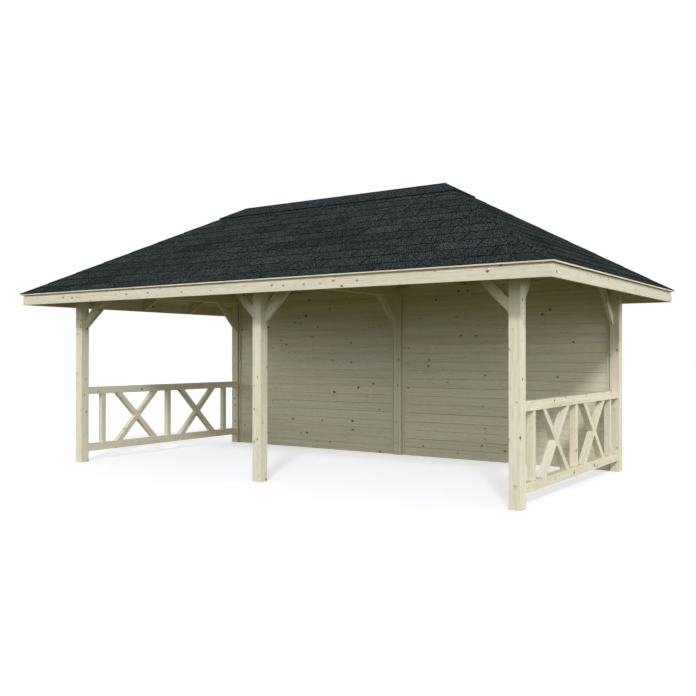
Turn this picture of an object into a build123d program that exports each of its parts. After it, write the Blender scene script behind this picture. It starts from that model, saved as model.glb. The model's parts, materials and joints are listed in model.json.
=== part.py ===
from build123d import *
import math
import os

# Open garden gazebo with a hipped, shingled roof on six square posts.
# Millimetres. The origin is at ground level under the middle of the roof,
# +X runs along the open front to the right, +Y to the boarded rear wall, +Z up.

# Frame over the outer faces of the posts
frame_length = 6280
frame_depth = 3200
post_size = 120
post_height = 2250
post_edge = 4
beam_height = 120

# Knee braces, cut at half a right angle from sawn boards
brace_leg = 463
brace_width = 95
brace_thickness = 45

# Rear wall of boards between the posts
wall_thickness = 40
wall_batten_width = 28
wall_batten_depth = 20
wall_batten_post_gap = 12

# Railings in the two open ends
rail_height = 95
rail_depth = 90
lower_rail_level = 137
upper_rail_level = 897
rail_setback = 15
infill_depth = 68
baluster_width = 68
baluster_post_gap = 240
cross_bar_width = 68

# Roof frame
roof_pitch = 30
eave_projection = 472
rafter_depth = 134
rafter_thickness = 45
rafter_spacing = 980
rafter_seat_depth = 34
ridge_board_depth = 175

# Roof skin
fascia_thickness = 25
fascia_face_height = 115
deck_thickness = 15
deck_projection = 25
shingle_thickness = 4
shingle_projection = 12
cap_thickness = 5
cap_half_width = 265
hip_cap_half_width = 42

# Every cutting body runs past what it cuts by this much
overrun = 50

# Turns of a slope drawn at the front into the other sides
quarter_turn_deg = 90
half_turn_deg = 180

# Levels and half sizes that follow from the values above
pitch_rise_share = math.tan(math.radians(roof_pitch))
plumb_share = 1 / math.cos(math.radians(roof_pitch))
diagonal_share = math.sqrt(2)
half_length = frame_length / 2
half_depth = frame_depth / 2
half_post = post_size / 2
beam_top = post_height + beam_height
rafter_plumb = rafter_depth * plumb_share
deck_plumb = deck_thickness * plumb_share
shingle_plumb = shingle_thickness * plumb_share
cap_plumb = cap_thickness * plumb_share
deck_reach = eave_projection + deck_projection
deck_half_length = half_length + deck_reach
deck_half_depth = half_depth + deck_reach
roof_run = deck_half_depth
ridge_half_length = deck_half_length - roof_run
deck_under_at_frame = beam_top - rafter_seat_depth + rafter_plumb
deck_under_at_edge = deck_under_at_frame - deck_reach * pitch_rise_share
deck_top_at_edge = deck_under_at_edge + deck_plumb
fascia_inset = deck_projection
tail_inset = fascia_inset + fascia_thickness
deck_under_at_tail = deck_under_at_edge + tail_inset * pitch_rise_share
fascia_foot = deck_under_at_tail - rafter_plumb
half_rafter = rafter_thickness / 2
hip_cheek = half_rafter * diagonal_share
roof_top = deck_top_at_edge + roof_run * pitch_rise_share + overrun

os.makedirs("parts", exist_ok=True)


def save(node, shapes):
    """Writes one node, made of one solid or of several that do not touch."""
    export_step(Compound(label=node, children=list(shapes)), os.path.join("parts", node + ".step"))


def solids_of(shape):
    return list(shape.solids())


def block(low, high):
    """A box between two corners."""
    size = [high[i] - low[i] for i in range(3)]
    middle = [(high[i] + low[i]) / 2 for i in range(3)]
    return Pos(*middle) * Box(*size)


def prism(plane, points, depth):
    """A flat outline drawn on a plane and thickened evenly to both sides of it."""
    return extrude(plane * make_face(Polyline(*points, close=True)), amount=depth / 2, both=True)


# Posts

post_rows = {"front": half_post - half_depth, "rear": half_depth - half_post}
post_columns = {"left": half_post - half_length, "middle": 0, "right": half_length - half_post}


def post(x, y):
    """Square post with eased long edges, standing on the ground."""
    body = block((x - half_post, y - half_post, 0), (x + half_post, y + half_post, post_height))
    return chamfer(body.edges().filter_by(Axis.Z), post_edge)


for row, row_y in post_rows.items():
    for column, column_x in post_columns.items():
        save(f"{row}_{column}_post", [post(column_x, row_y)])


# Beams, half lapped over the posts: the long ones lie under, the cross ones over

lap_level = post_height + beam_height / 2


def cross_lap(x, y):
    """The upper half of the crossing of two beams, which belongs to the cross beam."""
    return block(
        (x - half_post, y - half_post, lap_level),
        (x + half_post, y + half_post, beam_top),
    )


def long_beam(y):
    """Front or rear beam with its upper half cut away where the cross beams lie."""
    beam = block((-half_length, y - half_post, post_height), (half_length, y + half_post, beam_top))
    for x in post_columns.values():
        beam -= cross_lap(x, y)
    return beam


def cross_beam(x):
    """Beam from front to rear, in one piece with its laps over the long beams."""
    inner = half_depth - post_size
    beam = block((x - half_post, -inner, post_height), (x + half_post, inner, beam_top))
    for y in post_rows.values():
        beam += cross_lap(x, y)
    return beam


long_beams = {row: long_beam(y) for row, y in post_rows.items()}
cross_beams = {column: cross_beam(x) for column, x in post_columns.items()}
for row, beam in long_beams.items():
    save(f"{row}_beam", solids_of(beam))
for column, beam in cross_beams.items():
    save("middle_tie_beam" if column == "middle" else f"{column}_beam", solids_of(beam))


# Knee braces between posts and beams, flush with the inner faces of the posts

brace_foot = post_height - brace_leg
brace_cut = brace_width * diagonal_share
brace_outline = [
    (0, brace_foot),
    (brace_leg, post_height),
    (brace_leg - brace_cut, post_height),
    (0, brace_foot + brace_cut),
]
inner_x = half_length - post_size
inner_y = half_depth - post_size


def brace_along_x(start, direction, y):
    """Brace that rises from a post face at start towards +X or -X, its middle at y."""
    outline = [(start + direction * reach, level) for reach, level in brace_outline]
    return Pos(0, y, 0) * prism(Plane.XZ, outline, brace_thickness)


def brace_along_y(start, direction, x):
    """Brace that rises from a post face at start towards +Y or -Y, its middle at x."""
    outline = [(start + direction * reach, level) for reach, level in brace_outline]
    return Pos(x, 0, 0) * prism(Plane.YZ, outline, brace_thickness)


front_brace_y = -inner_y - brace_thickness / 2
save("front_braces", [
    brace_along_x(-inner_x, 1, front_brace_y),
    brace_along_x(-half_post, -1, front_brace_y),
    brace_along_x(half_post, 1, front_brace_y),
    brace_along_x(inner_x, -1, front_brace_y),
])
end_brace_x = inner_x + brace_thickness / 2
tie_brace_x = brace_thickness / 2 - half_post
cross_brace_places = {"left_braces": -end_brace_x, "tie_braces": tie_brace_x, "right_braces": end_brace_x}
for node, x in cross_brace_places.items():
    save(node, [brace_along_y(-inner_y, 1, x), brace_along_y(inner_y, -1, x)])


# Rear wall: one boarded panel in each bay, and the battens along its ends, each a groove away from the post

wall_inner_y = post_rows["rear"] - wall_thickness / 2
wall_outer_y = post_rows["rear"] + wall_thickness / 2
bays = {"left": (-inner_x, -half_post), "right": (half_post, inner_x)}


def wall_batten(x):
    return block(
        (x, wall_inner_y - wall_batten_depth, 0),
        (x + wall_batten_width, wall_inner_y, post_height),
    )


for side, (bay_start, bay_end) in bays.items():
    save(f"{side}_wall_panel", [block((bay_start, wall_inner_y, 0), (bay_end, wall_outer_y, post_height))])
    first_batten = bay_start + wall_batten_post_gap
    last_batten = bay_end - wall_batten_post_gap - wall_batten_width
    save(f"{side}_wall_battens", [wall_batten(first_batten), wall_batten(last_batten)])


# Railings: two rails, three balusters and two crosses, framed as one panel

railing_half_span = half_depth - post_size
outer_baluster_offset = railing_half_span - baluster_post_gap - baluster_width / 2
cross_low = lower_rail_level + rail_height
cross_high = upper_rail_level
cross_middle = (cross_low + cross_high) / 2
cross_half = (cross_high - cross_low) / 2


def rail(level):
    return block(
        (-rail_depth / 2, -railing_half_span, level),
        (rail_depth / 2, railing_half_span, level + rail_height),
    )


def baluster(y):
    return block(
        (-infill_depth / 2, y - baluster_width / 2, cross_low),
        (infill_depth / 2, y + baluster_width / 2, cross_high),
    )


def cross_bar(middle, lean):
    """One bar of a cross, cut level where it meets the rails."""
    half_cut = cross_bar_width * diagonal_share / 2
    low_y = middle - lean * cross_half
    high_y = middle + lean * cross_half
    outline = [
        (low_y - half_cut, cross_low),
        (low_y + half_cut, cross_low),
        (high_y + half_cut, cross_high),
        (high_y - half_cut, cross_high),
    ]
    return prism(Plane.YZ, outline, infill_depth)


def railing():
    panel = rail(lower_rail_level) + rail(upper_rail_level)
    for y in (-outer_baluster_offset, 0, outer_baluster_offset):
        panel += baluster(y)
    for middle in (-outer_baluster_offset / 2, outer_baluster_offset / 2):
        for lean in (-1, 1):
            panel += cross_bar(middle, lean)
    return panel


railing_x = half_length - rail_setback - rail_depth / 2
save("left_railing", solids_of(Pos(-railing_x, 0, 0) * railing()))
save("right_railing", solids_of(Pos(railing_x, 0, 0) * railing()))


# Hipped roof: every layer lies under one hipped surface, moved up or down

# Each slope is drawn facing -Y and turned into place: half eave, distance to the middle, turn
slopes = {
    "front": (deck_half_length, deck_half_depth, 0),
    "rear": (deck_half_length, deck_half_depth, half_turn_deg),
    "left": (deck_half_depth, deck_half_length, -quarter_turn_deg),
    "right": (deck_half_depth, deck_half_length, quarter_turn_deg),
}


def slope_section(half_eave, to_middle, start, end, upper, lower):
    """Layer of one slope between two heights over the deck edge, start to end inward."""
    outline = [
        (start - to_middle, lower + start * pitch_rise_share),
        (start - to_middle, upper + start * pitch_rise_share),
        (end - to_middle, upper + end * pitch_rise_share),
        (end - to_middle, lower + end * pitch_rise_share),
    ]
    return prism(Plane.YZ, outline, 2 * (half_eave + overrun))


def slope_sector(half_eave, to_middle, start, cheek):
    """Upright prism over the plan of one slope, kept clear of the hip lines by a cheek."""
    outline = [
        (start + cheek - half_eave, start - to_middle),
        (half_eave - start - cheek, start - to_middle),
        (half_eave - roof_run, roof_run - cheek - to_middle),
        (roof_run - half_eave, roof_run - cheek - to_middle),
    ]
    if half_eave == roof_run:
        outline.pop()
    return extrude(Plane.XY * make_face(Polyline(*outline, close=True)), amount=roof_top)


def slope_layer(side, start, upper, lower):
    """One mitred slope of a roof layer, from its lower edge up to the ridge and hips."""
    half_eave, to_middle, turn = slopes[side]
    layer = slope_section(half_eave, to_middle, start, roof_run, upper, lower)
    return Rot(0, 0, turn) * (layer & slope_sector(half_eave, to_middle, start, 0))


def hipped_volume(inset, edge_level):
    """All that lies under a hipped surface whose height at the deck edge is edge_level."""
    eave_level = edge_level + inset * pitch_rise_share
    ridge_level = edge_level + roof_run * pitch_rise_share
    x = deck_half_length - inset
    y = deck_half_depth - inset
    across = prism(
        Plane.YZ,
        [(-y, 0), (-y, eave_level), (0, ridge_level), (y, eave_level), (y, 0)],
        2 * x,
    )
    along = prism(
        Plane.XZ,
        [
            (-x, 0),
            (-x, eave_level),
            (-ridge_half_length, ridge_level),
            (ridge_half_length, ridge_level),
            (x, eave_level),
            (x, 0),
        ],
        2 * y,
    )
    return across & along


# Ridge board, hip rafters and rafters, all under the deck and seated on the beams

frame_beams = list(long_beams.values()) + list(cross_beams.values())
attic = hipped_volume(tail_inset, deck_under_at_edge)
ridge_level = deck_under_at_edge + roof_run * pitch_rise_share
ridge_board_half_length = ridge_half_length + half_rafter + hip_cheek
ridge_board = attic & block(
    (-ridge_board_half_length, -half_rafter, ridge_level - ridge_board_depth),
    (ridge_board_half_length, half_rafter, roof_top),
)
save("ridge_board", solids_of(ridge_board))


def seated(board):
    """Cuts the bird's mouths, where a roof board comes down over the beams."""
    for beam in frame_beams:
        board -= beam
    return board


def hip_rafter():
    """Front left hip rafter: its top is backed to both slopes, its seat cut over the corner."""
    corner = Plane(
        origin=(-deck_half_length, -deck_half_depth, deck_under_at_edge),
        x_dir=(1, 1, 0),
        z_dir=(1, -1, 0),
    )
    reach = roof_run * diagonal_share
    rise = roof_run * pitch_rise_share
    outline = [
        (0, -rafter_plumb),
        (reach, rise - rafter_plumb),
        (reach, rise + overrun),
        (0, rise + overrun),
    ]
    board = prism(corner, outline, rafter_thickness) & attic
    board &= block((-deck_half_length, -deck_half_depth, 0), (0, -half_rafter, roof_top))
    return seated(board)


left_hip = hip_rafter()
right_hip = left_hip.mirror(Plane.YZ)
save("front_left_hip_rafter", solids_of(left_hip))
save("front_right_hip_rafter", solids_of(right_hip))
save("rear_left_hip_rafter", solids_of(left_hip.mirror(Plane.XZ)))
save("rear_right_hip_rafter", solids_of(right_hip.mirror(Plane.XZ)))


def rafters(side):
    """Rafters of one slope: notched over the beam, cut to the ridge board or to the hips."""
    half_eave, to_middle, turn = slopes[side]
    ridge_gap = half_rafter if half_eave > roof_run else half_rafter + hip_cheek
    layer = slope_section(
        half_eave, to_middle, tail_inset, roof_run - ridge_gap,
        deck_under_at_edge, deck_under_at_edge - rafter_plumb,
    )
    layer &= slope_sector(half_eave, to_middle, tail_inset, hip_cheek)
    count = int((half_eave - deck_reach - half_rafter) // rafter_spacing)
    made = []
    for i in range(-count, count + 1):
        strip = block(
            (i * rafter_spacing - half_rafter, -to_middle, 0),
            (i * rafter_spacing + half_rafter, 0, roof_top),
        )
        made += solids_of(seated(Rot(0, 0, turn) * (layer & strip)))
    return made


for side in slopes:
    save(f"{side}_rafters", rafters(side))


# Fascia ring across the ends of the rafters, bevelled up to the deck, then the deck and the shingles

for side, (half_eave, to_middle, turn) in slopes.items():
    outline = [
        (fascia_inset - to_middle, fascia_foot),
        (fascia_inset - to_middle, fascia_foot + fascia_face_height),
        (tail_inset - to_middle, deck_under_at_tail),
        (tail_inset - to_middle, fascia_foot),
    ]
    board = prism(Plane.YZ, outline, 2 * half_eave) & slope_sector(half_eave, to_middle, fascia_inset, 0)
    save(f"{side}_fascia", solids_of(Rot(0, 0, turn) * board))
    save(f"{side}_roof_deck", solids_of(slope_layer(side, 0, deck_top_at_edge, deck_under_at_edge)))
    shingle_top = deck_top_at_edge + shingle_plumb
    shingles = slope_layer(side, -shingle_projection, shingle_top, deck_top_at_edge)
    save(f"{side}_shingles", solids_of(shingles))


# Ridge cap bent over the ridge and the tops of the hips, and narrow caps down the hips

cap_underside = deck_top_at_edge + shingle_plumb
cap_skin = hipped_volume(-shingle_projection, cap_underside + cap_plumb)
cap_skin -= hipped_volume(-shingle_projection, cap_underside)
ridge_cap_column = block(
    (-ridge_half_length - cap_half_width, -cap_half_width, 0),
    (ridge_half_length + cap_half_width, cap_half_width, roof_top),
)
save("ridge_cap", solids_of(cap_skin & ridge_cap_column))


def hip_cap():
    """Cap of the front left hip, from the corner of the eaves up to the ridge cap."""
    corner = Plane(origin=(-deck_half_length, -deck_half_depth, 0), x_dir=(1, 1, 0), z_dir=(0, 0, 1))
    column = corner * block(
        (-overrun, -hip_cap_half_width, 0),
        (roof_run * diagonal_share, hip_cap_half_width, roof_top),
    )
    return (cap_skin & column) - ridge_cap_column


left_cap = hip_cap()
right_cap = left_cap.mirror(Plane.YZ)
hip_caps = [left_cap, right_cap, left_cap.mirror(Plane.XZ), right_cap.mirror(Plane.XZ)]
save("hip_caps", [solid for made in hip_caps for solid in solids_of(made)])
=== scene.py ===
"""Looks of a garden gazebo with a hipped, shingled roof, dressed on its CAD frame.

Metres, in the frame of the CAD part: +X runs along the open front to the right, +Y to the boarded rear
wall, +Z up. Boards are swept sections with eased edges. Each carries two mesh attributes, its own stretch
of "grain" and its own "tint", which the wood reads. Shingles are single tabs laid in courses.
"""

import json
import math
import random

import bmesh
import bpy
from mathutils import Vector
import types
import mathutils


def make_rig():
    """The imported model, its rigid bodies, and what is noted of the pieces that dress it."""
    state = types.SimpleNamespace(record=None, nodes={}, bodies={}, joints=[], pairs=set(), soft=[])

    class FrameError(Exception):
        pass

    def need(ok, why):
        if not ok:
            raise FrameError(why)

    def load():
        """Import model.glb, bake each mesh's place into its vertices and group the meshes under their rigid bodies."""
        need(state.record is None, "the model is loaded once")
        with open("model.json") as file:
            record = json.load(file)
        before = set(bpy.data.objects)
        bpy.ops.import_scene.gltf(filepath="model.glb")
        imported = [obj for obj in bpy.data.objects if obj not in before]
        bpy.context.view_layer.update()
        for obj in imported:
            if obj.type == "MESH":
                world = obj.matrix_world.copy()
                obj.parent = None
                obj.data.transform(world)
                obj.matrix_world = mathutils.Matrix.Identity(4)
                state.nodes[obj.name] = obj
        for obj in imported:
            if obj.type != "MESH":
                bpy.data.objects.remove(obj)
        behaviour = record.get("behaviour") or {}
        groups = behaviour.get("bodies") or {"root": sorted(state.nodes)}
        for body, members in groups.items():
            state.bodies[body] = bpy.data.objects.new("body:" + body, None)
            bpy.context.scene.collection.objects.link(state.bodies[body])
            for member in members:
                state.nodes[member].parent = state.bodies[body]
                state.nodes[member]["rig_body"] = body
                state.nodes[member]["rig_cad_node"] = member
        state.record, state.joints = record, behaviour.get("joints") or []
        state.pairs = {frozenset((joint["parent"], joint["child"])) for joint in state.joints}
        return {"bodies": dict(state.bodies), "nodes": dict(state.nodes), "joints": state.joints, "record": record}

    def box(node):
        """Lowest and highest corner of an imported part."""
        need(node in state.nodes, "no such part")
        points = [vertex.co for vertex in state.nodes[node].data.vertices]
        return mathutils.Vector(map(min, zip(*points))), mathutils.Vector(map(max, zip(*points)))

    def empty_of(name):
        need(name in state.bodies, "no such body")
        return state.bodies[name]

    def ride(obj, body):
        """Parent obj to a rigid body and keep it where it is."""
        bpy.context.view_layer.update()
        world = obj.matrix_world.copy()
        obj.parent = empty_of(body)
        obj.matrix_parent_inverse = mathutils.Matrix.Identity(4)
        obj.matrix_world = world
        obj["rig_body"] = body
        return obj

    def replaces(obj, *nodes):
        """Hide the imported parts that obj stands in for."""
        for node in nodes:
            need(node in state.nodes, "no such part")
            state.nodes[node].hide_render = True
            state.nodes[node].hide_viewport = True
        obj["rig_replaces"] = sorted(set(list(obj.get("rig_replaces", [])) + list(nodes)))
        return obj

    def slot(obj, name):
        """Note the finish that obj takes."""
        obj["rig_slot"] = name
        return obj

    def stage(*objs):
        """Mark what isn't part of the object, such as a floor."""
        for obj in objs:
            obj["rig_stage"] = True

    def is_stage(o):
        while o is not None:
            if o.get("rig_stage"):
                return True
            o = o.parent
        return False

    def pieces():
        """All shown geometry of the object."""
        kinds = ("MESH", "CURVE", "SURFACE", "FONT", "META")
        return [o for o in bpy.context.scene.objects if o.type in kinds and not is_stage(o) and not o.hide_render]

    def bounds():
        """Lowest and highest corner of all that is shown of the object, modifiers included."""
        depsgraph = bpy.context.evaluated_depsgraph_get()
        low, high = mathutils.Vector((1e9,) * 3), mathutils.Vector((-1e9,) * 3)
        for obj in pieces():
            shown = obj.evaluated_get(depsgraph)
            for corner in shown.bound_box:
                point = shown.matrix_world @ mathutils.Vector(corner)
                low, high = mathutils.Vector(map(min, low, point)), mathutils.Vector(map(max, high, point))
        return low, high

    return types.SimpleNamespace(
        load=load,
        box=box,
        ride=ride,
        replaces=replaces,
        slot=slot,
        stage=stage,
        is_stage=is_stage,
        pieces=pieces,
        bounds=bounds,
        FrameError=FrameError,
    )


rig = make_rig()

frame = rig.load()
cad_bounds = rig.bounds()

X = Vector((1, 0, 0))
Y = Vector((0, 1, 0))
Z = Vector((0, 0, 1))

# Timber: eased edges, and the sizes that the boxes of the nodes don't give
POST_EDGE = 0.004
BOARD_EDGE = 0.0025
GLUE_EDGE = 0.0004
END_EASE = 0.001
BRACE_WIDTH = 0.095
WALL_PITCH = 0.121
WALL_GROOVE = 0.0025
WALL_SLIT_LEAST = 0.0005
WALL_SLIT_SPREAD = 0.006
WALL_SLIT_RARITY = 3
WALL_SLIT_DEPTH = 0.015
BATTEN_WIDTH = 0.028
BATTEN_POST_GAP = 0.012
BATTEN_ROUND = 0.009
RAIL_HEIGHT = 0.095
BALUSTER_WIDTH = 0.068
BALUSTER_OFFSET = 1.206
CROSS_BAR_WIDTH = 0.068
INFILL_DEPTH = 0.068

# How much boards differ: in shade, in warmth, and in where their stretch of grain is taken
SHADE_SPREAD = 0.02
WARMTH_SPREAD = SHADE_SPREAD / 3
GRAIN_REACH = 40.0
FASCIA_SHADE = 0.90

# Roof boards
PITCH = math.radians(30)
DECK_THICKNESS = 0.015
DECK_PITCH = 0.121
DECK_GROOVE = 0.004
FASCIA_THICKNESS = 0.025
FASCIA_INSET = 0.025
FASCIA_FACE_HEIGHT = 0.098
MITRE_EASE = 0.004

# Shingles: courses of tabs with a slit between tabs, over a bare sheet. Levels are square to the deck
EAVE_LAP = 0.003
FIRST_COURSE = 0.165
COURSE = 0.2067
TAB_WIDTH = 0.463
SLIT = 0.011
SHEET = 0.001
TAB_TOP = 0.005
TAB_LIFT = 0.002
TAB_TAIL = 0.002
CAP_HALF_WIDTH = 0.265
CAP_UNDER = 0.009
CAP_TOP = 0.019
HIP_CAP_HALF_WIDTH = 0.042
HIP_CAP_LENGTH = 0.353
HIP_CAP_LAP = 0.05
HIP_CAP_THICKNESS = 0.003
HIP_CAP_LIFT = 0.004

# How much shingles differ: in place, in lift, in shade and in hue
TAB_SIDE_OUT = 0.001
TAB_SIDE_IN = 0.002
TAB_FOOT_PLAY = 0.003
TAB_SAG = 0.0004
TAB_CURL = 0.0008
TAB_SPREAD = 0.12
CAP_SPREAD = 0.02
HIP_CAP_SPREAD = 0.05
HUE_SPREAD = 0.02

# Camera
CAMERA_PLACE = (6.1092, -8.7917, 1.4247)
CAMERA_YAW = math.radians(34.1021)
CAMERA_PITCH = math.radians(0.4648)
SENSOR = 36.0
LENS = 43.256

# Light: the strength of the sky by how steeply it is looked at, and lamps with their angles in degrees
WHITE = (1, 1, 1, 1)
SKY = (0.93, 1.0, 1.27, 1)
SKY_RISE = 0.8
HORIZON_STRENGTH = 1.85
ZENITH_STRENGTH = 0.35
HAZE_SHARE = 0.4
HAZE_RISE = 0.14
KEY_COLOUR = (0.985, 1.0, 1.37)
KEY_STRENGTH = 1.71
KEY_AZIMUTH = 30
KEY_HEIGHT = 30.6
KEY_SOFTNESS = 7
FILL_COLOUR = (0.98, 1.0, 1.34)
FILL_STRENGTH = 1.42
FILL_AZIMUTH = 88
FILL_HEIGHT = 8
FILL_SOFTNESS = 50
LEFT_FILL_STRENGTH = 0.4
LEFT_FILL_AZIMUTH = -55
LEFT_FILL_HEIGHT = 14
LEFT_FILL_SOFTNESS = 40
FLOOR_HALF = 40.0
FLOOR_BOUNCE = (0.130, 0.135, 0.070, 1)
FLOOR_SEEN = (0.58, 0.55, 0.47, 1)
FLOOR_GLOW = 0.55


# Meshes


def rounded(corners, radii):
    """Outline with every corner eased by a radius: one for all, or one for each corner.

    Three points make an eased corner: the ends of a quadratic curve and its middle."""
    if not isinstance(radii, (list, tuple)):
        radii = [radii] * len(corners)
    outline = []
    for i, radius in enumerate(radii):
        corner = Vector(corners[i])
        before = (Vector(corners[i - 1]) - corner).normalized() * radius
        after = (Vector(corners[(i + 1) % len(corners)]) - corner).normalized() * radius
        outline += [corner + before, corner + (before + after) / 4, corner + after]
    return outline


def box_section(width, depth, radii):
    """Rectangle about the origin, from the corner low in both directions, turning left."""
    w = width / 2
    d = depth / 2
    return rounded([(-w, -d), (w, -d), (w, d), (-w, d)], radii)


def square_end(distance):
    """End plane of a board, cut straight across."""
    return (distance, 0, 0)


class Timber:
    """Boards gathered into one mesh, each with its own stretch of grain and its own tint."""

    def __init__(self, seed, shade=1.0):
        self.random = random.Random(seed)
        self.shade = shade
        self.verts = []
        self.faces = []
        self.grain = []
        self.tint = []

    def bar(self, section, place, start, end, ease=END_EASE):
        """Sweeps a section (u, v) along the first direction of a place, between two end planes.

        A place is an origin and the directions along, across (u) and through (v). An end plane is its
        distance along at u = v = 0 and its lean with u and with v."""
        origin, along, across, through = place
        half_u = max(abs(p[0]) for p in section)
        half_v = max(abs(p[1]) for p in section)
        shrink_u = 1 - ease / half_u
        shrink_v = 1 - ease / half_v
        first = len(self.verts)
        count = len(section)
        shift = [self.random.uniform(-GRAIN_REACH, GRAIN_REACH) for _ in range(3)]
        tint = self.board_tint()
        for (distance, lean_u, lean_v), inward, at_tip in (
            (start, ease, True),
            (start, ease, False),
            (end, -ease, False),
            (end, -ease, True),
        ):
            for u, v in section:
                if at_tip:
                    u, v = u * shrink_u, v * shrink_v
                t = distance + lean_u * u + lean_v * v + (0 if at_tip else inward)
                self.verts.append(origin + along * t + across * u + through * v)
                self.grain.append((t + shift[0], u + shift[1], v + shift[2]))
                self.tint.append(tint)
        for ring in range(3):
            low = first + ring * count
            for i in range(count):
                j = (i + 1) % count
                self.faces.append((low + i, low + j, low + count + j, low + count + i))
        self.faces.append(tuple(range(first, first + count))[::-1])
        self.faces.append(tuple(range(first + 3 * count, first + 4 * count)))

    def board_tint(self):
        shade = self.shade * (1 + self.random.gauss(0, SHADE_SPREAD))
        warmth = self.random.gauss(0, WARMTH_SPREAD)
        return (shade * (1 + warmth), shade, shade * (1 - warmth))

    def build(self, name, material, slot, node):
        """Makes the mesh, which stands for a CAD node."""
        mesh = bpy.data.meshes.new(name)
        mesh.from_pydata(self.verts, [], self.faces)
        mesh.materials.append(material)
        add_vectors(mesh, "grain", self.grain)
        add_vectors(mesh, "tint", self.tint)
        place_piece(name, mesh, slot, node)


class Roofing:
    """Flat pieces of shingle gathered into one mesh: granules on top, bare felt on the cut edges."""

    GRANULES = 0
    FELT = 1

    def __init__(self, seed):
        self.random = random.Random(seed)
        self.verts = []
        self.faces = []
        self.kinds = []
        self.tint = []

    def slab(self, upper, lower, spread, bare=False):
        """Closes two matching loops of points, given in the same order, into one piece.

        Spread is how much its shade may differ. A bare piece is felt all round."""
        first = len(self.verts)
        count = len(upper)
        shade = 1 + self.random.gauss(0, spread)
        hue = self.random.gauss(0, HUE_SPREAD)
        self.verts += upper + lower
        self.tint += [(shade * (1 - hue), shade * (1 + hue / 2), shade * (1 + hue))] * (2 * count)
        self.faces.append(tuple(range(first, first + count)))
        self.kinds.append(self.FELT if bare else self.GRANULES)
        self.faces.append(tuple(range(first + count, first + 2 * count))[::-1])
        self.kinds.append(self.FELT)
        for i in range(count):
            j = (i + 1) % count
            self.faces.append((first + i, first + count + i, first + count + j, first + j))
            self.kinds.append(self.FELT)

    def build(self, name, materials, slot, node):
        """Makes the mesh, which stands for a CAD node."""
        mesh = bpy.data.meshes.new(name)
        mesh.from_pydata(self.verts, [], self.faces)
        for material in materials:
            mesh.materials.append(material)
        mesh.polygons.foreach_set("material_index", self.kinds)
        add_vectors(mesh, "tint", self.tint)
        place_piece(name, mesh, slot, node)


def add_vectors(mesh, name, values):
    """Stores one vector for each vertex of a mesh, for its material to read."""
    attribute = mesh.attributes.new(name, "FLOAT_VECTOR", "POINT")
    attribute.data.foreach_set("vector", [c for value in values for c in value])


def place_piece(name, mesh, slot, node):
    """Turns all faces outward and puts the piece on the frame in place of its CAD node."""
    work = bmesh.new()
    work.from_mesh(mesh)
    bmesh.ops.recalc_face_normals(work, faces=work.faces)
    work.to_mesh(mesh)
    work.free()
    piece = bpy.data.objects.new(name, mesh)
    bpy.context.scene.collection.objects.link(piece)
    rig.ride(piece, "root")
    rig.slot(piece, slot)
    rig.replaces(piece, node)


# Materials


class Graph:
    """Short names for building the nodes of a material or a world."""

    def __init__(self, tree):
        self.tree = tree

    def node(self, kind, inputs=None, **settings):
        made = self.tree.nodes.new("ShaderNode" + kind)
        for key, value in settings.items():
            setattr(made, key, value)
        for key, value in (inputs or {}).items():
            if isinstance(value, bpy.types.NodeSocket):
                self.tree.links.new(value, made.inputs[key])
            else:
                made.inputs[key].default_value = value
        return made

    def math(self, operation, a, b=0.0, c=0.0):
        return self.node("Math", {0: a, 1: b, 2: c}, operation=operation).outputs[0]

    def vector(self, operation, a, b=(0, 0, 0)):
        made = self.node("VectorMath", {0: a, 1: b}, operation=operation)
        return made.outputs["Value" if operation == "LENGTH" else "Vector"]

    def mix(self, factor, a, b, blend="MIX"):
        made = self.node("Mix", {0: factor, 6: a, 7: b}, data_type="RGBA", blend_type=blend)
        return made.outputs[2]

    def tinted(self, colour, factor, tint):
        """A colour multiplied by a tint, as far as a factor from 0 to 1 says."""
        return self.mix(factor, colour, tint, "MULTIPLY")

    def band(self, value, source, target=(0.0, 1.0)):
        """Smooth step of a value from one range to another."""
        inputs = {
            "Value": value,
            "From Min": source[0],
            "From Max": source[1],
            "To Min": target[0],
            "To Max": target[1],
        }
        return self.node("MapRange", inputs, interpolation_type="SMOOTHSTEP").outputs["Result"]

    def noise(self, place, rate, detail=2.0, output="Fac"):
        """Noise with so many spots in a metre: one rate for all directions, or one for each."""
        if isinstance(rate, tuple):
            place = self.vector("MULTIPLY", place, rate)
            rate = 1.0
        return self.node("TexNoise", {"Vector": place, "Scale": rate, "Detail": detail}).outputs[output]

    def attribute(self, name):
        return self.node("Attribute", attribute_name=name).outputs["Vector"]


def new_material(name):
    """A material with only its Principled shader, as a graph, and that shader."""
    material = bpy.data.materials.new(name)
    material.use_nodes = True
    graph = Graph(material.node_tree)
    return material, graph, material.node_tree.nodes["Principled BSDF"]


def finish_surface(graph, shader, colour, roughness, specular, relief=None):
    """Gives a shader its colour, roughness and specular level, and a relief: height, strength and depth."""
    links = graph.tree.links
    links.new(colour, shader.inputs["Base Color"])
    links.new(roughness, shader.inputs["Roughness"])
    shader.inputs["Specular IOR Level"].default_value = specular
    if relief is not None:
        height, strength, depth = relief
        bump = graph.node("Bump", {"Height": height, "Strength": strength, "Distance": depth})
        links.new(bump.outputs["Normal"], shader.inputs["Normal"])


# Spruce: early and late wood, and darker, more olive copies of it as painted shade for the shade under the roof:
# strongest for the roof boards, milder for the rafters
PALE = (0.745, 0.685, 0.423, 1)
LATE = (0.645, 0.57, 0.315, 1)
SHADED_ROOF_PALE = (0.64, 0.57, 0.29, 1)
SHADED_ROOF_LATE = (0.55, 0.47, 0.21, 1)
SHADED_RAFTER_PALE = (0.70, 0.64, 0.37, 1)
SHADED_RAFTER_LATE = (0.60, 0.53, 0.27, 1)

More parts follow.
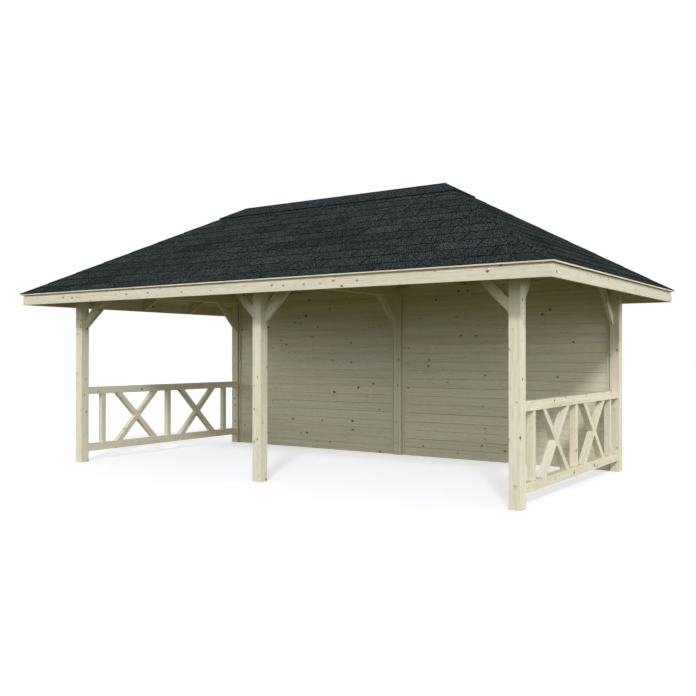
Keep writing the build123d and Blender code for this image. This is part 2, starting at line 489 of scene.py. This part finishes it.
# Spruce: how many of each mark fit in a metre along the grain, across it and through
BOARD_KNOTS = (9.0, 12.0, 12.0)
POST_KNOTS = (11.0, 17.0, 17.0)
WANDER_RATE = (1.1, 5.0, 5.0)
FIBRE_RATE = (4.0, 210.0, 210.0)
STREAK_RATE = (0.9, 26.0, 26.0)
FLECK_RATE = (11.0, 75.0, 75.0)
BLUSH_RATE = (1.3, 7.0, 7.0)
KNOT_RIM_RATE = 90.0

# Spruce: the share of its knots that show, and how strongly rings, streaks and flecks do
BOARD_KNOT_SHARE = 0.55
POST_KNOT_SHARE = 0.85
WALL_KNOT_SHARE = 0.3
BOARD_FIGURE = 0.6
POST_FIGURE = 0.5

# Spruce: rings in metres, about a heart beside the board, and knots in shares of their spacing
NOISE_MIDDLE = (0.5, 0.5, 0.5)
ACROSS_GRAIN = (0, 1, 1)
RING_WIDTH = 0.0075
RING_WANDER = (0, 0.05, 0.05)
RING_BEND = 0.006
HEART = (0, 0.02, -0.06)
KNOT_SIZES = (0.6, 1.7)
KNOT_RIM = 0.05
KNOT_EDGE = (0.15, 0.10)
HALO_EDGE = (0.32, 0.10)
FULL_KNOT_SHARE = 0.3

# Spruce: over which range of its pattern each mark comes in, and how far
RING_RANGE = (-0.2, 1.0)
RING_STREAK_RANGE = (0.25, 0.75)
RING_SHARES = (0.2, 1.1)
STREAK_RANGE = (0.38, 0.66)
FLECK_RANGE = (0.45, 0.70)
BLUSH_RANGE = (0.50, 0.75)
BLUSH_SHARE = 0.22
FIBRE_SHARE = 0.18
HALO_SHARE = 0.25
KNOT_DARKNESS = 0.9

# Spruce: what each mark multiplies the colour by, and the knots' own colour
STREAK_TINT = (0.91, 0.89, 0.84, 1)
FLECK_TINT = (0.88, 0.86, 0.81, 1)
BLUSH_TINT = (1.0, 0.86, 0.72, 1)
FIBRE_TINT = (0.78, 0.74, 0.66, 1)
HALO_TINT = (0.62, 0.47, 0.30, 1)
KNOT_COLOUR = (0.085, 0.050, 0.024, 1)

# Spruce: relief and gloss
FIBRE_RELIEF = 0.6
RING_RELIEF = 0.25
KNOT_RELIEF = 0.4
WOOD_BUMP = 0.35
WOOD_DEPTH = 0.001
FIBRE_RANGE = (0.3, 0.7)
WOOD_ROUGHNESS = (0.55, 0.72)
KNOT_GLOSS = 0.2
WOOD_SPECULAR = 0.08


def grain_along(graph, direction):
    """Coordinates of a CAD piece in metres, turned so that their first axis runs along its grain."""
    turn = direction.to_track_quat("X", "Z").inverted().to_euler()
    coordinates = graph.node("TexCoord").outputs["Object"]
    return graph.node("Mapping", {"Vector": coordinates, "Rotation": turn}).outputs["Vector"]


def knots_of(graph, place, rate, share):
    """Knots of uneven size, of which a share shows, and the wider halo round each."""
    cells = graph.node("TexVoronoi", {"Vector": graph.vector("MULTIPLY", place, rate), "Scale": 1.0})
    chance = graph.node("SeparateColor", {0: cells.outputs["Color"]}).outputs
    rim = graph.noise(place, KNOT_RIM_RATE)
    distance = graph.math("MULTIPLY_ADD", rim, KNOT_RIM, cells.outputs["Distance"])
    distance = graph.math("DIVIDE", distance, graph.band(chance[1], (0.0, 1.0), KNOT_SIZES))
    strength = graph.band(chance[0], (1 - share, 1 - FULL_KNOT_SHARE * share))
    knot = graph.math("MULTIPLY", graph.band(distance, KNOT_EDGE), strength)
    halo = graph.math("MULTIPLY", graph.band(distance, HALO_EDGE), strength)
    return knot, halo


def rings_of(graph, place, halo):
    """Growth rings that wander along the grain and bend round the knots."""
    wander = graph.noise(place, WANDER_RATE, output="Color")
    wander = graph.vector("MULTIPLY", graph.vector("SUBTRACT", wander, NOISE_MIDDLE), RING_WANDER)
    heart = graph.vector("SUBTRACT", graph.vector("MULTIPLY", place, ACROSS_GRAIN), HEART)
    radius = graph.vector("LENGTH", graph.vector("ADD", heart, wander))
    radius = graph.math("ADD", radius, graph.math("MULTIPLY", halo, RING_BEND))
    wave = graph.math("SINE", graph.math("MULTIPLY", radius, 2 * math.pi / RING_WIDTH))
    return graph.band(wave, RING_RANGE)


def wood(
    name, pale, late, knots=BOARD_KNOTS, knot_share=BOARD_KNOT_SHARE, figure=BOARD_FIGURE, direction=None
):
    """Spruce: wavy growth rings, fibres and dark knots that the rings bend around.

    Boards of this script bring their own grain and tint. A CAD piece has its grain along a direction.
    Knots are given as how many fit in a metre along the grain, across it and through, and as the share of
    them that show. Figure is how strongly the rings, streaks and flecks show."""
    material, graph, shader = new_material(name)
    place = graph.attribute("grain") if direction is None else grain_along(graph, direction)
    knot, halo = knots_of(graph, place, knots, knot_share)
    ring = rings_of(graph, place, halo)
    fibre = graph.noise(place, FIBRE_RATE, detail=3.0)
    streak = graph.noise(place, STREAK_RATE, detail=3.0)
    fleck = graph.noise(place, FLECK_RATE, detail=1.0)
    blush = graph.noise(place, BLUSH_RATE, detail=1.0)

    ring_figure = [share * figure for share in RING_SHARES]
    grain = graph.math("MULTIPLY", ring, graph.band(streak, RING_STREAK_RANGE, ring_figure))
    colour = graph.mix(grain, pale, late)
    colour = graph.tinted(colour, graph.band(streak, STREAK_RANGE, (0.0, figure)), STREAK_TINT)
    colour = graph.tinted(colour, graph.band(fleck, FLECK_RANGE, (0.0, figure)), FLECK_TINT)
    colour = graph.tinted(colour, graph.band(blush, BLUSH_RANGE, (0.0, BLUSH_SHARE)), BLUSH_TINT)
    colour = graph.tinted(colour, graph.math("MULTIPLY", fibre, FIBRE_SHARE), FIBRE_TINT)
    colour = graph.tinted(colour, graph.math("MULTIPLY", halo, HALO_SHARE), HALO_TINT)
    colour = graph.mix(graph.math("MULTIPLY", knot, KNOT_DARKNESS), colour, KNOT_COLOUR)
    if direction is None:
        colour = graph.tinted(colour, 1.0, graph.attribute("tint"))

    ring_height = graph.math("MULTIPLY", ring, RING_RELIEF)
    height = graph.math("ADD", graph.math("MULTIPLY", fibre, FIBRE_RELIEF), ring_height)
    height = graph.math("SUBTRACT", height, graph.math("MULTIPLY", knot, KNOT_RELIEF))
    roughness = graph.band(fibre, FIBRE_RANGE, WOOD_ROUGHNESS)
    roughness = graph.math("SUBTRACT", roughness, graph.math("MULTIPLY", knot, KNOT_GLOSS))
    finish_surface(graph, shader, colour, roughness, WOOD_SPECULAR, (height, WOOD_BUMP, WOOD_DEPTH))
    return material


# Granules and felt: how many spots of each pattern fit in a metre
CLOUD_RATE = 1.4
BLOTCH_RATE = 5.0
CLUMP_RATE = 85.0
GRANULE_RATE = 240.0
FELT_RATE = 130.0

# Granules and felt: colours, and what the blotches multiply them by
TEAL = (0.008, 0.014, 0.0092, 1)
VIOLET = (0.0114, 0.014, 0.011, 1)
BLOTCH_TINT = (0.66, 0.70, 0.70, 1)
PALE_CLUMP = (0.070, 0.079, 0.061, 1)
DARK_CLUMP = (0.002, 0.003, 0.002, 1)
GLINT = (0.118, 0.131, 0.103, 1)
DARK_FELT = (0.004, 0.005, 0.005, 1)
PALE_FELT = (0.011, 0.012, 0.012, 1)

# Granules and felt: over which range of its pattern each colour comes in, and how far
CLOUD_RANGE = (0.38, 0.62)
BLOTCH_RANGE = (0.35, 0.65)
BLOTCH_SHARE = 0.5
PALE_CLUMP_RANGE = (0.50, 0.59)
PALE_CLUMP_SHARE = 0.85
DARK_CLUMP_RANGE = (0.50, 0.41)
DARK_CLUMP_SHARE = 0.9
GLINT_RANGE = (0.80, 0.98)
GLINT_SHARE = 0.55

# Granules and felt: relief and gloss
GRANULE_BUMP = 0.5
GRANULE_DEPTH = 0.0012
GRANULE_GLOSS_RANGE = (0.2, 1.0)
GRANULE_ROUGHNESS = (0.96, 0.80)
FELT_GLOSS_RANGE = (0.3, 0.7)
FELT_ROUGHNESS = (0.88, 1.0)
ROOFING_SPECULAR = 0.0


def granules(name):
    """Slate-coloured granules: speckle at the size of the grains, and soft teal and violet clouds."""
    material, graph, shader = new_material(name)
    place = graph.node("TexCoord").outputs["Object"]
    cloud = graph.noise(place, CLOUD_RATE, detail=3.0)
    blotch = graph.noise(place, BLOTCH_RATE, detail=3.0)
    clump = graph.noise(place, CLUMP_RATE)
    grain = graph.node("TexVoronoi", {"Vector": place, "Scale": GRANULE_RATE})
    bright = graph.node("SeparateColor", {0: grain.outputs["Color"]}).outputs[0]
    colour = graph.mix(graph.band(cloud, CLOUD_RANGE), TEAL, VIOLET)
    colour = graph.tinted(colour, graph.band(blotch, BLOTCH_RANGE, (0.0, BLOTCH_SHARE)), BLOTCH_TINT)
    colour = graph.mix(graph.band(clump, PALE_CLUMP_RANGE, (0.0, PALE_CLUMP_SHARE)), colour, PALE_CLUMP)
    colour = graph.mix(graph.band(clump, DARK_CLUMP_RANGE, (0.0, DARK_CLUMP_SHARE)), colour, DARK_CLUMP)
    colour = graph.mix(graph.band(bright, GLINT_RANGE, (0.0, GLINT_SHARE)), colour, GLINT)
    colour = graph.tinted(colour, 1.0, graph.attribute("tint"))
    height = graph.math("SUBTRACT", 1.0, grain.outputs["Distance"])
    roughness = graph.band(bright, GRANULE_GLOSS_RANGE, GRANULE_ROUGHNESS)
    relief = (height, GRANULE_BUMP, GRANULE_DEPTH)
    finish_surface(graph, shader, colour, roughness, ROOFING_SPECULAR, relief)
    return material


def felt(name):
    """Cut edge of the felt, nearly black and a little uneven."""
    material, graph, shader = new_material(name)
    place = graph.node("TexCoord").outputs["Object"]
    fleck = graph.noise(place, FELT_RATE)
    colour = graph.mix(fleck, DARK_FELT, PALE_FELT)
    roughness = graph.band(fleck, FELT_GLOSS_RANGE, FELT_ROUGHNESS)
    finish_surface(graph, shader, colour, roughness, ROOFING_SPECULAR)
    return material


timber = wood("planed_spruce", PALE, LATE)
post_timber = wood("post_spruce", PALE, LATE, POST_KNOTS, POST_KNOT_SHARE, POST_FIGURE)
wall_timber = wood("wall_spruce", PALE, LATE, knot_share=WALL_KNOT_SHARE)
# The roof boards' spruce is darkened and made more olive: painted shade for the shade under the roof
shaded_roof_timber = wood("painted_shade_roof_spruce", SHADED_ROOF_PALE, SHADED_ROOF_LATE)
shingle_materials = [granules("shingle_granules"), felt("shingle_felt")]


# Frame pieces


def middle_of(low, high):
    return (low + high) / 2


def posts():
    """Each post is glued from two lamellas: their joint shows on the side faces."""
    for row in ("front", "rear"):
        for column in ("left", "middle", "right"):
            node = f"{row}_{column}_post"
            low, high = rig.box(node)
            size = high - low
            boards = Timber(node)
            section = box_section(size.x, size.y / 2, [GLUE_EDGE, GLUE_EDGE, POST_EDGE, POST_EDGE])
            for side in (-1, 1):
                middle = middle_of(low, high) + Y * side * size.y / 4
                place = (Vector((middle.x, middle.y, low.z)), Z, X * side, Y * side)
                boards.bar(section, place, square_end(0), square_end(size.z))
            boards.build(f"{node}_lamellas", post_timber, "frame_timber", node)


def brace_feet():
    """Feet of the braces of each node: where the post's face lies on X or Y, and the way out from it."""
    post_low, post_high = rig.box("front_right_post")
    end_face = post_low.x
    middle_face = (post_high.x - post_low.x) / 2
    row_face = post_high.y
    across = [(row_face, Y), (-row_face, -Y)]
    return {
        "front_braces": [(-end_face, X), (-middle_face, -X), (middle_face, X), (end_face, -X)],
        "left_braces": across,
        "tie_braces": across,
        "right_braces": across,
    }


def braces():
    """Boards at half a right angle, cut plumb at the post and level at the beam."""
    half_width = BRACE_WIDTH / 2
    for node, feet in brace_feet().items():
        low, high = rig.box(node)
        reach = (high.z - low.z) * math.sqrt(2)
        boards = Timber(node)
        for face, away in feet:
            axis, through = (X, Y) if away.x else (Y, X)
            foot = axis * face + through * middle_of(low, high).dot(through) + Z * low.z
            along = (away + Z).normalized()
            across = (Z - away).normalized()
            place = (foot + across * half_width, along, across, through)
            section = box_section(BRACE_WIDTH, (high - low).dot(through), BOARD_EDGE)
            boards.bar(section, place, (half_width, 1, 0), (reach - half_width, -1, 0))
        boards.build(f"{node}_boards", timber, "frame_timber", node)


def wall_section(height, thickness, slit):
    """Board with eased edges, rebated at its top in front so that a slit stays open under the next board."""
    w = height / 2
    d = thickness / 2
    foot = d - WALL_SLIT_DEPTH
    corners = [(-w, -d), (w, -d), (w, foot), (w - slit, foot), (w - slit, d), (-w, d)]
    return rounded(corners, [WALL_GROOVE, WALL_GROOVE, GLUE_EDGE, GLUE_EDGE, WALL_GROOVE, WALL_GROOVE])


def walls():
    """Boards with an uneven open joint between them, mostly narrow, and the battens of each panel."""
    for side in ("left", "right"):
        node = f"{side}_wall_panel"
        low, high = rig.box(node)
        boards = Timber(node)
        level = low.z
        while level < high.z:
            height = min(WALL_PITCH, high.z - level)
            slit = WALL_SLIT_LEAST + WALL_SLIT_SPREAD * boards.random.random() ** WALL_SLIT_RARITY
            section = wall_section(height, high.y - low.y, slit)
            place = (Vector((low.x, middle_of(low, high).y, level + height / 2)), X, Z, -Y)
            boards.bar(section, place, square_end(0), square_end(high.x - low.x))
            level += height
        boards.build(f"{side}_wall_boards", wall_timber, "wall_boards", node)
        battens(side, low.x, high.x)


def battens(side, start, end):
    """Upright battens near both ends of a wall panel, rounded in front."""
    node = f"{side}_wall_battens"
    low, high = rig.box(node)
    boards = Timber(node)
    inset = BATTEN_POST_GAP + BATTEN_WIDTH / 2
    radii = [BATTEN_ROUND, BATTEN_ROUND, GLUE_EDGE, GLUE_EDGE]
    section = box_section(BATTEN_WIDTH, high.y - low.y, radii)
    for x in (start + inset, end - inset):
        place = (Vector((x, middle_of(low, high).y, low.z)), Z, X, Y)
        boards.bar(section, place, square_end(0), square_end(high.z - low.z))
    boards.build(f"{side}_wall_batten_boards", timber, "wall_boards", node)


def railings():
    """Rails, balusters and crosses."""
    for side in ("left", "right"):
        node = f"{side}_railing"
        low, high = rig.box(node)
        x = middle_of(low, high).x
        boards = Timber(node)
        rail_section = box_section(RAIL_HEIGHT, high.x - low.x, BOARD_EDGE)
        for level in (low.z + RAIL_HEIGHT / 2, high.z - RAIL_HEIGHT / 2):
            place = (Vector((x, low.y, level)), Y, Z, X)
            boards.bar(rail_section, place, square_end(0), square_end(high.y - low.y))
        foot = low.z + RAIL_HEIGHT
        head = high.z - RAIL_HEIGHT
        baluster_section = box_section(BALUSTER_WIDTH, INFILL_DEPTH, BOARD_EDGE)
        for y in (-BALUSTER_OFFSET, 0, BALUSTER_OFFSET):
            place = (Vector((x, y, foot)), Z, Y, X)
            boards.bar(baluster_section, place, square_end(0), square_end(head - foot))
        for y in (-BALUSTER_OFFSET / 2, BALUSTER_OFFSET / 2):
            cross(boards, Vector((x, y, (foot + head) / 2)), (head - foot) / 2)
        boards.build(f"{side}_railing_boards", timber, "railing_timber", node)


def cross(boards, middle, half_rise):
    """Two bars at half a right angle, cut level at the rails: one runs through, the other butts it."""
    section = box_section(CROSS_BAR_WIDTH, INFILL_DEPTH, BOARD_EDGE)
    reach = half_rise * math.sqrt(2)
    through_bar = (middle, (Y - Z).normalized(), (Y + Z).normalized(), X)
    boards.bar(section, through_bar, (-reach, 1, 0), (reach, 1, 0))
    for away in (1, -1):
        place = (middle, (Y + Z).normalized() * away, (Z - Y).normalized() * away, X)
        boards.bar(section, place, square_end(CROSS_BAR_WIDTH / 2), (reach, -1, 0))


# Roof pieces

deck_low, deck_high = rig.box("front_roof_deck")
DECK_HALF_LENGTH = deck_high.x
DECK_HALF_DEPTH = -deck_low.y
ROOF_RUN = DECK_HALF_DEPTH
RIDGE_HALF_LENGTH = DECK_HALF_LENGTH - ROOF_RUN
SLOPE_LENGTH = ROOF_RUN / math.cos(PITCH)
DECK_EDGE_TOP = deck_low.z + DECK_THICKNESS / math.cos(PITCH)

# Each slope: directions along its eave and inward, half its eave, and the eave's distance from the middle
SLOPES = {
    "front": (X, Y, DECK_HALF_LENGTH, DECK_HALF_DEPTH),
    "right": (Y, -X, DECK_HALF_DEPTH, DECK_HALF_LENGTH),
    "rear": (-X, -Y, DECK_HALF_LENGTH, DECK_HALF_DEPTH),
    "left": (-Y, X, DECK_HALF_DEPTH, DECK_HALF_LENGTH),
}


def slope_place(side):
    """Place of a slope and half the length of its eave.

    The place is the middle of the eave on the deck, and the directions along the eave, up the slope and
    out of it."""
    along, inward, half_eave, to_middle = SLOPES[side]
    origin = Z * DECK_EDGE_TOP - inward * to_middle
    up = inward * math.cos(PITCH) + Z * math.sin(PITCH)
    out = Z * math.cos(PITCH) - inward * math.sin(PITCH)
    return (origin, along, up, out), half_eave


def deck_section(width, at_eave, at_ridge):
    """Section of a roof board, grooved below. Its edge is plumb at the eave and at the ridge."""
    w = width / 2
    t = DECK_THICKNESS / 2
    plumb = DECK_THICKNESS * math.tan(PITCH)
    corners = [(-w, -t), (w, -t), (w, t), (-w, t)]
    radii = [DECK_GROOVE, DECK_GROOVE, GLUE_EDGE, GLUE_EDGE]
    if at_eave:
        corners[0] = (-w - plumb, -t)
        radii[0] = BOARD_EDGE
    if at_ridge:
        corners[1] = (w - plumb, -t)
        radii[1] = GLUE_EDGE
    return rounded(corners, radii)


def decks():
    """Boards laid along the eaves and mitred at the hips, in a spruce darkened as painted shade for the shade under
    the roof. The paler one at the eave, where the light falls, takes plain spruce and is its own piece.
    """
    lean_u = math.cos(PITCH)
    lean_v = math.sin(PITCH)
    half_thickness = DECK_THICKNESS / 2
    count = math.ceil(SLOPE_LENGTH / DECK_PITCH)
    for side in SLOPES:
        node = f"{side}_roof_deck"
        (origin, along, up, out), half_eave = slope_place(side)
        boards = Timber(node)
        eave = Timber(f"{side}_eave")
        for i in range(count):
            low = i * DECK_PITCH
            high = min(low + DECK_PITCH, SLOPE_LENGTH)
            middle = (low + high) / 2
            end = half_eave - middle * lean_u - half_thickness * lean_v
            section = deck_section(high - low, i == 0, i == count - 1)
            # Where the hips meet, the board stops just short of their point
            if end - (high - low) / 2 * lean_u < 2 * END_EASE:
                section = [(min(u, end / lean_u - 2 * END_EASE), v) for u, v in section]
            place = (origin + up * middle - out * half_thickness, along, up, out)
            start_plane = (-end, lean_u, -lean_v)
            end_plane = (end, -lean_u, lean_v)
            if i == 0:
                eave.bar(section, place, start_plane, end_plane, MITRE_EASE)
            else:
                boards.bar(section, place, start_plane, end_plane)
        boards.build(f"{side}_roof_deck_boards", shaded_roof_timber, "roof_boards", node)
        eave.build(f"{side}_eave_board", wall_timber, "roof_boards", node)


def fascias():
    """Boards round the eaves, mitred at the corners, with a top that slopes back up to the deck."""
    half = FASCIA_THICKNESS / 2
    inset = FASCIA_INSET + half
    for side in SLOPES:
        node = f"{side}_fascia"
        low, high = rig.box(node)
        along, inward, half_eave, to_middle = SLOPES[side]
        boards = Timber(node, FASCIA_SHADE)
        height = high.z - low.z
        face_top = FASCIA_FACE_HEIGHT - height / 2
        corners = [(-height / 2, -half), (height / 2, -half), (face_top, half), (-height / 2, half)]
        middle = Z * middle_of(low, high).z - inward * (to_middle - inset)
        end = half_eave - inset
        place = (middle, along, Z, -inward)
        boards.bar(rounded(corners, BOARD_EDGE), place, (-end, 0, -1), (end, 0, 1), MITRE_EASE)
        boards.build(f"{side}_fascia_board", post_timber, "fascia", node)


# Roof covering


def clipped(outline, inside):
    """Part of a convex outline where inside(point), which is linear in the point, isn't negative."""
    kept = []
    for i, point in enumerate(outline):
        before = outline[i - 1]
        here, there = inside(point), inside(before)
        if here * there < 0:
            share = there / (there - here)
            kept.append(tuple(before[k] + share * (point[k] - before[k]) for k in range(2)))
        if here >= 0:
            kept.append(point)
    return kept


def between_hips(outline, half_eave):
    """Part of an outline on a slope that lies between its two hips."""
    lean = math.cos(PITCH)
    outline = clipped(outline, lambda p: half_eave - p[1] * lean - p[0])
    return clipped(outline, lambda p: half_eave - p[1] * lean + p[0])


def on_slope(place, outline, level):
    """Points of a flat outline on a slope, at a level over the deck that may follow the point."""
    origin, along, up, out = place
    points = []
    for point in outline:
        height = level(point) if callable(level) else level
        points.append(origin + along * point[0] + up * point[1] + out * height)
    return points


def shingles():
    """On each slope a bare sheet, and over it courses of tabs, every second one set off by half a tab."""
    lap = EAVE_LAP / math.cos(PITCH)
    for side in SLOPES:
        node = f"{side}_shingles"
        place, half_eave = slope_place(side)
        roof = Roofing(node)
        reach = half_eave + EAVE_LAP
        corners = [(-reach, -lap), (reach, -lap), (reach, SLOPE_LENGTH), (-reach, SLOPE_LENGTH)]
        sheet = between_hips(corners, half_eave)
        roof.slab(on_slope(place, sheet, SHEET), on_slope(place, sheet, 0), 0, bare=True)
        count = math.ceil(reach / TAB_WIDTH) + 1
        low = -lap
        high = FIRST_COURSE - lap
        course = 0
        while low < SLOPE_LENGTH:
            high = min(high, SLOPE_LENGTH)
            phase = TAB_WIDTH / 2 if course % 2 else 0
            for i in range(-count, count):
                tab(roof, place, half_eave, i * TAB_WIDTH + phase, low, high)
            low = high
            high = low + COURSE
            course += 1
        roof.build(f"{side}_shingle_tabs", shingle_materials, "shingles", node)


def tab(roof, place, half_eave, start, low, high):
    """One tab, a wedge on the course below, with a lower edge and sides that are a little uneven."""
    play = roof.random.uniform
    left = start + SLIT / 2 + play(-TAB_SIDE_OUT, TAB_SIDE_IN)
    right = start + TAB_WIDTH - SLIT / 2 + play(-TAB_SIDE_IN, TAB_SIDE_OUT)
    foot = low if low < 0 else low + play(-TAB_FOOT_PLAY, TAB_FOOT_PLAY)
    outline = between_hips([(left, foot), (right, foot), (right, high), (left, high)], half_eave)
    if len(outline) < 3:
        return
    lift = play(-TAB_SAG, TAB_CURL) + (TAB_LIFT if low > 0 else 0)

    def falling(foot_level, tail_level):
        """Level that falls from the foot of the tab, which is lifted, to its tail."""

        def level(point):
            share = (point[1] - low) / (high - low)
            return foot_level + (tail_level - foot_level) * share + lift * (1 - share)

        return level

    upper = on_slope(place, outline, falling(TAB_TOP, TAB_TAIL))
    lower = on_slope(place, outline, falling(TAB_TAIL, SHEET))
    roof.slab(upper, lower, TAB_SPREAD)


def roof_level(distance, level):
    """Height over a spot a given plan distance inside the deck's edge, at a level square to the slope."""
    return DECK_EDGE_TOP + distance * math.tan(PITCH) + level / math.cos(PITCH)


def ridge_cap():
    """Felt bent over the ridge and the tops of the hips, in one panel for each slope."""
    roof = Roofing("ridge_cap")
    edge_distance = ROOF_RUN - CAP_HALF_WIDTH
    end = RIDGE_HALF_LENGTH + CAP_HALF_WIDTH
    edge = CAP_HALF_WIDTH
    panels = [
        [(-end, -edge), (end, -edge), (RIDGE_HALF_LENGTH, 0), (-RIDGE_HALF_LENGTH, 0)],
        [(end, -edge), (end, edge), (RIDGE_HALF_LENGTH, 0)],
        [(end, edge), (-end, edge), (-RIDGE_HALF_LENGTH, 0), (RIDGE_HALF_LENGTH, 0)],
        [(-end, edge), (-end, -edge), (-RIDGE_HALF_LENGTH, 0)],
    ]
    for panel in panels:
        loops = []
        for level in (CAP_TOP, CAP_UNDER):
            loop = []
            for x, y in panel:
                distance = ROOF_RUN if y == 0 else edge_distance
                loop.append(Vector((x, y, roof_level(distance, level))))
            loops.append(loop)
        roof.slab(loops[0], loops[1], CAP_SPREAD)
    roof.build("ridge_cap_felt", shingle_materials, "shingles", "ridge_cap")


def hip_caps():
    """Short folded pieces up every hip, each lapped over the one below it."""
    roof = Roofing("hip_caps")
    top = (ROOF_RUN - CAP_HALF_WIDTH) * math.sqrt(2)
    for sign_x in (-1, 1):
        for sign_y in (-1, 1):
            corner = Vector((sign_x * DECK_HALF_LENGTH, sign_y * DECK_HALF_DEPTH, 0))
            inward = Vector((-sign_x, -sign_y, 0)).normalized()
            aside = Vector((-inward.y, inward.x, 0))
            start = -EAVE_LAP * math.sqrt(2)
            while start < top:
                end = min(start + HIP_CAP_LENGTH + HIP_CAP_LAP, top)
                hip_cap(roof, corner, inward, aside, start, end)
                start += HIP_CAP_LENGTH
    roof.build("hip_cap_pieces", shingle_materials, "shingles", "hip_caps")


def hip_cap(roof, corner, inward, aside, start, end):
    """Two halves of one piece, bent at the hip. The lowest piece follows both eaves."""
    at_eave = start < 0
    for side in (-1, 1):
        loops = []
        for level in (HIP_CAP_THICKNESS, 0):
            loop = []
            for share_along, share_aside in ((0, 0), (0, 1), (1, 1), (1, 0)):
                width = share_aside * HIP_CAP_HALF_WIDTH
                lean = 1 if at_eave and share_along == 0 else 0
                s = start + share_along * (end - start) + lean * width
                lift = HIP_CAP_LIFT * (1 - share_along)
                distance = (s - width) / math.sqrt(2)
                point = corner + inward * s + aside * side * width
                loop.append(point + Z * roof_level(distance, TAB_TAIL + lift + level))
            loops.append(loop)
        roof.slab(loops[0], loops[1], HIP_CAP_SPREAD)


posts()
braces()
walls()
railings()
decks()
fascias()
shingles()
ridge_cap()
hip_caps()


# CAD pieces that keep their shape, and the direction of their grain: the beams and the frame of the roof

UP = math.tan(PITCH)
BEAM_GRAIN = {
    "front_beam": X,
    "rear_beam": X,
    "left_beam": Y,
    "right_beam": Y,
}
ROOF_GRAIN = {
    "middle_tie_beam": Y,
    "ridge_board": X,
    "front_rafters": Vector((0, 1, UP)),
    "rear_rafters": Vector((0, -1, UP)),
    "left_rafters": Vector((1, 0, UP)),
    "right_rafters": Vector((-1, 0, UP)),
    "front_left_hip_rafter": Vector((1, 1, UP)),
    "front_right_hip_rafter": Vector((-1, 1, UP)),
    "rear_left_hip_rafter": Vector((1, -1, UP)),
    "rear_right_hip_rafter": Vector((-1, -1, UP)),
}


def dress(grain_directions, pale, late):
    """Gives each CAD piece a spruce of its own, with the grain along its direction."""
    for node, direction in grain_directions.items():
        material = wood(f"{node}_wood", pale, late, direction=direction)
        for slot in frame["nodes"][node].material_slots:
            slot.material = material


dress(BEAM_GRAIN, PALE, LATE)
# The frame of the roof and the tie beam take a mildly darkened spruce: painted shade for the shade under the roof
dress(ROOF_GRAIN, SHADED_RAFTER_PALE, SHADED_RAFTER_LATE)


# Camera, floor and light


def camera():
    data = bpy.data.cameras.new("camera")
    data.sensor_width = SENSOR
    data.lens = LENS
    made = bpy.data.objects.new("camera", data)
    made.location = CAMERA_PLACE
    made.rotation_euler = (math.pi / 2 + CAMERA_PITCH, 0, CAMERA_YAW)
    bpy.context.scene.collection.objects.link(made)
    bpy.context.scene.camera = made


def seen_directly(graph):
    """1 for what the camera sees, also in a mirror or through glass, and 0 for light on the object."""
    path = graph.node("LightPath").outputs
    seen = graph.math("MAXIMUM", path["Is Camera Ray"], path["Is Glossy Ray"])
    return graph.math("MAXIMUM", seen, path["Is Transmission Ray"])


def floor():
    """Pale floor: it takes the shadow, and reads as white where the light is open."""
    h = FLOOR_HALF
    mesh = bpy.data.meshes.new("floor")
    mesh.from_pydata([(-h, -h, 0), (h, -h, 0), (h, h, 0), (-h, h, 0)], [], [(0, 1, 2, 3)])
    material, graph, shader = new_material("pale_floor")
    seen = seen_directly(graph)
    links = graph.tree.links
    links.new(graph.mix(seen, FLOOR_BOUNCE, FLOOR_SEEN), shader.inputs["Base Color"])
    links.new(graph.math("MULTIPLY", seen, FLOOR_GLOW), shader.inputs["Emission Strength"])
    shader.inputs["Emission Color"].default_value = WHITE
    shader.inputs["Roughness"].default_value = 1.0
    shader.inputs["Specular IOR Level"].default_value = 0.0
    mesh.materials.append(material)
    made = bpy.data.objects.new("floor", mesh)
    bpy.context.scene.collection.objects.link(made)
    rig.stage(made)


def world():
    """Sky that is dim overhead, bright lower down and hazy at the horizon. The camera sees plain white."""
    made = bpy.data.worlds.new("studio")
    made.use_nodes = True
    graph = Graph(made.node_tree)
    links = graph.tree.links
    light = graph.tree.nodes["Background"]
    light.inputs["Color"].default_value = SKY
    direction = graph.node("TexCoord").outputs["Generated"]
    rise = graph.node("SeparateXYZ", {0: direction}).outputs["Z"]
    open_sky = graph.band(rise, (0.0, SKY_RISE), (HORIZON_STRENGTH, ZENITH_STRENGTH))
    haze = graph.band(rise, (0.0, HAZE_RISE), (HAZE_SHARE, 1.0))
    links.new(graph.math("MULTIPLY", open_sky, haze), light.inputs["Strength"])
    white = graph.node("Background", {"Color": WHITE, "Strength": 1.0})
    mixed = graph.node("MixShader", {0: seen_directly(graph), 1: light.outputs[0], 2: white.outputs[0]})
    links.new(mixed.outputs[0], graph.tree.nodes["World Output"].inputs["Surface"])
    bpy.context.scene.world = made


def sun(name, colour, strength, azimuth, height, softness):
    """Light from one side, with angles in degrees: the azimuth is counted from the front to the right."""
    data = bpy.data.lights.new(name, "SUN")
    data.color = colour
    data.energy = strength
    data.angle = math.radians(softness)
    made = bpy.data.objects.new(name, data)
    turn = math.radians(azimuth)
    level = math.cos(math.radians(height))
    towards = Vector((math.sin(turn) * level, -math.cos(turn) * level, math.sin(math.radians(height))))
    made.rotation_euler = towards.to_track_quat("Z", "Y").to_euler()
    bpy.context.scene.collection.objects.link(made)


camera()
floor()
world()
sun("key", KEY_COLOUR, KEY_STRENGTH, KEY_AZIMUTH, KEY_HEIGHT, KEY_SOFTNESS)
sun("fill", FILL_COLOUR, FILL_STRENGTH, FILL_AZIMUTH, FILL_HEIGHT, FILL_SOFTNESS)
sun("left_fill", FILL_COLOUR, LEFT_FILL_STRENGTH, LEFT_FILL_AZIMUTH, LEFT_FILL_HEIGHT, LEFT_FILL_SOFTNESS)
bpy.context.scene.view_settings.view_transform = "Standard"

bounds_file = open("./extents.json", "w")
for low, high in (cad_bounds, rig.bounds()):
    print(json.dumps([list(low), list(high)]), file=bounds_file)
bounds_file.close()
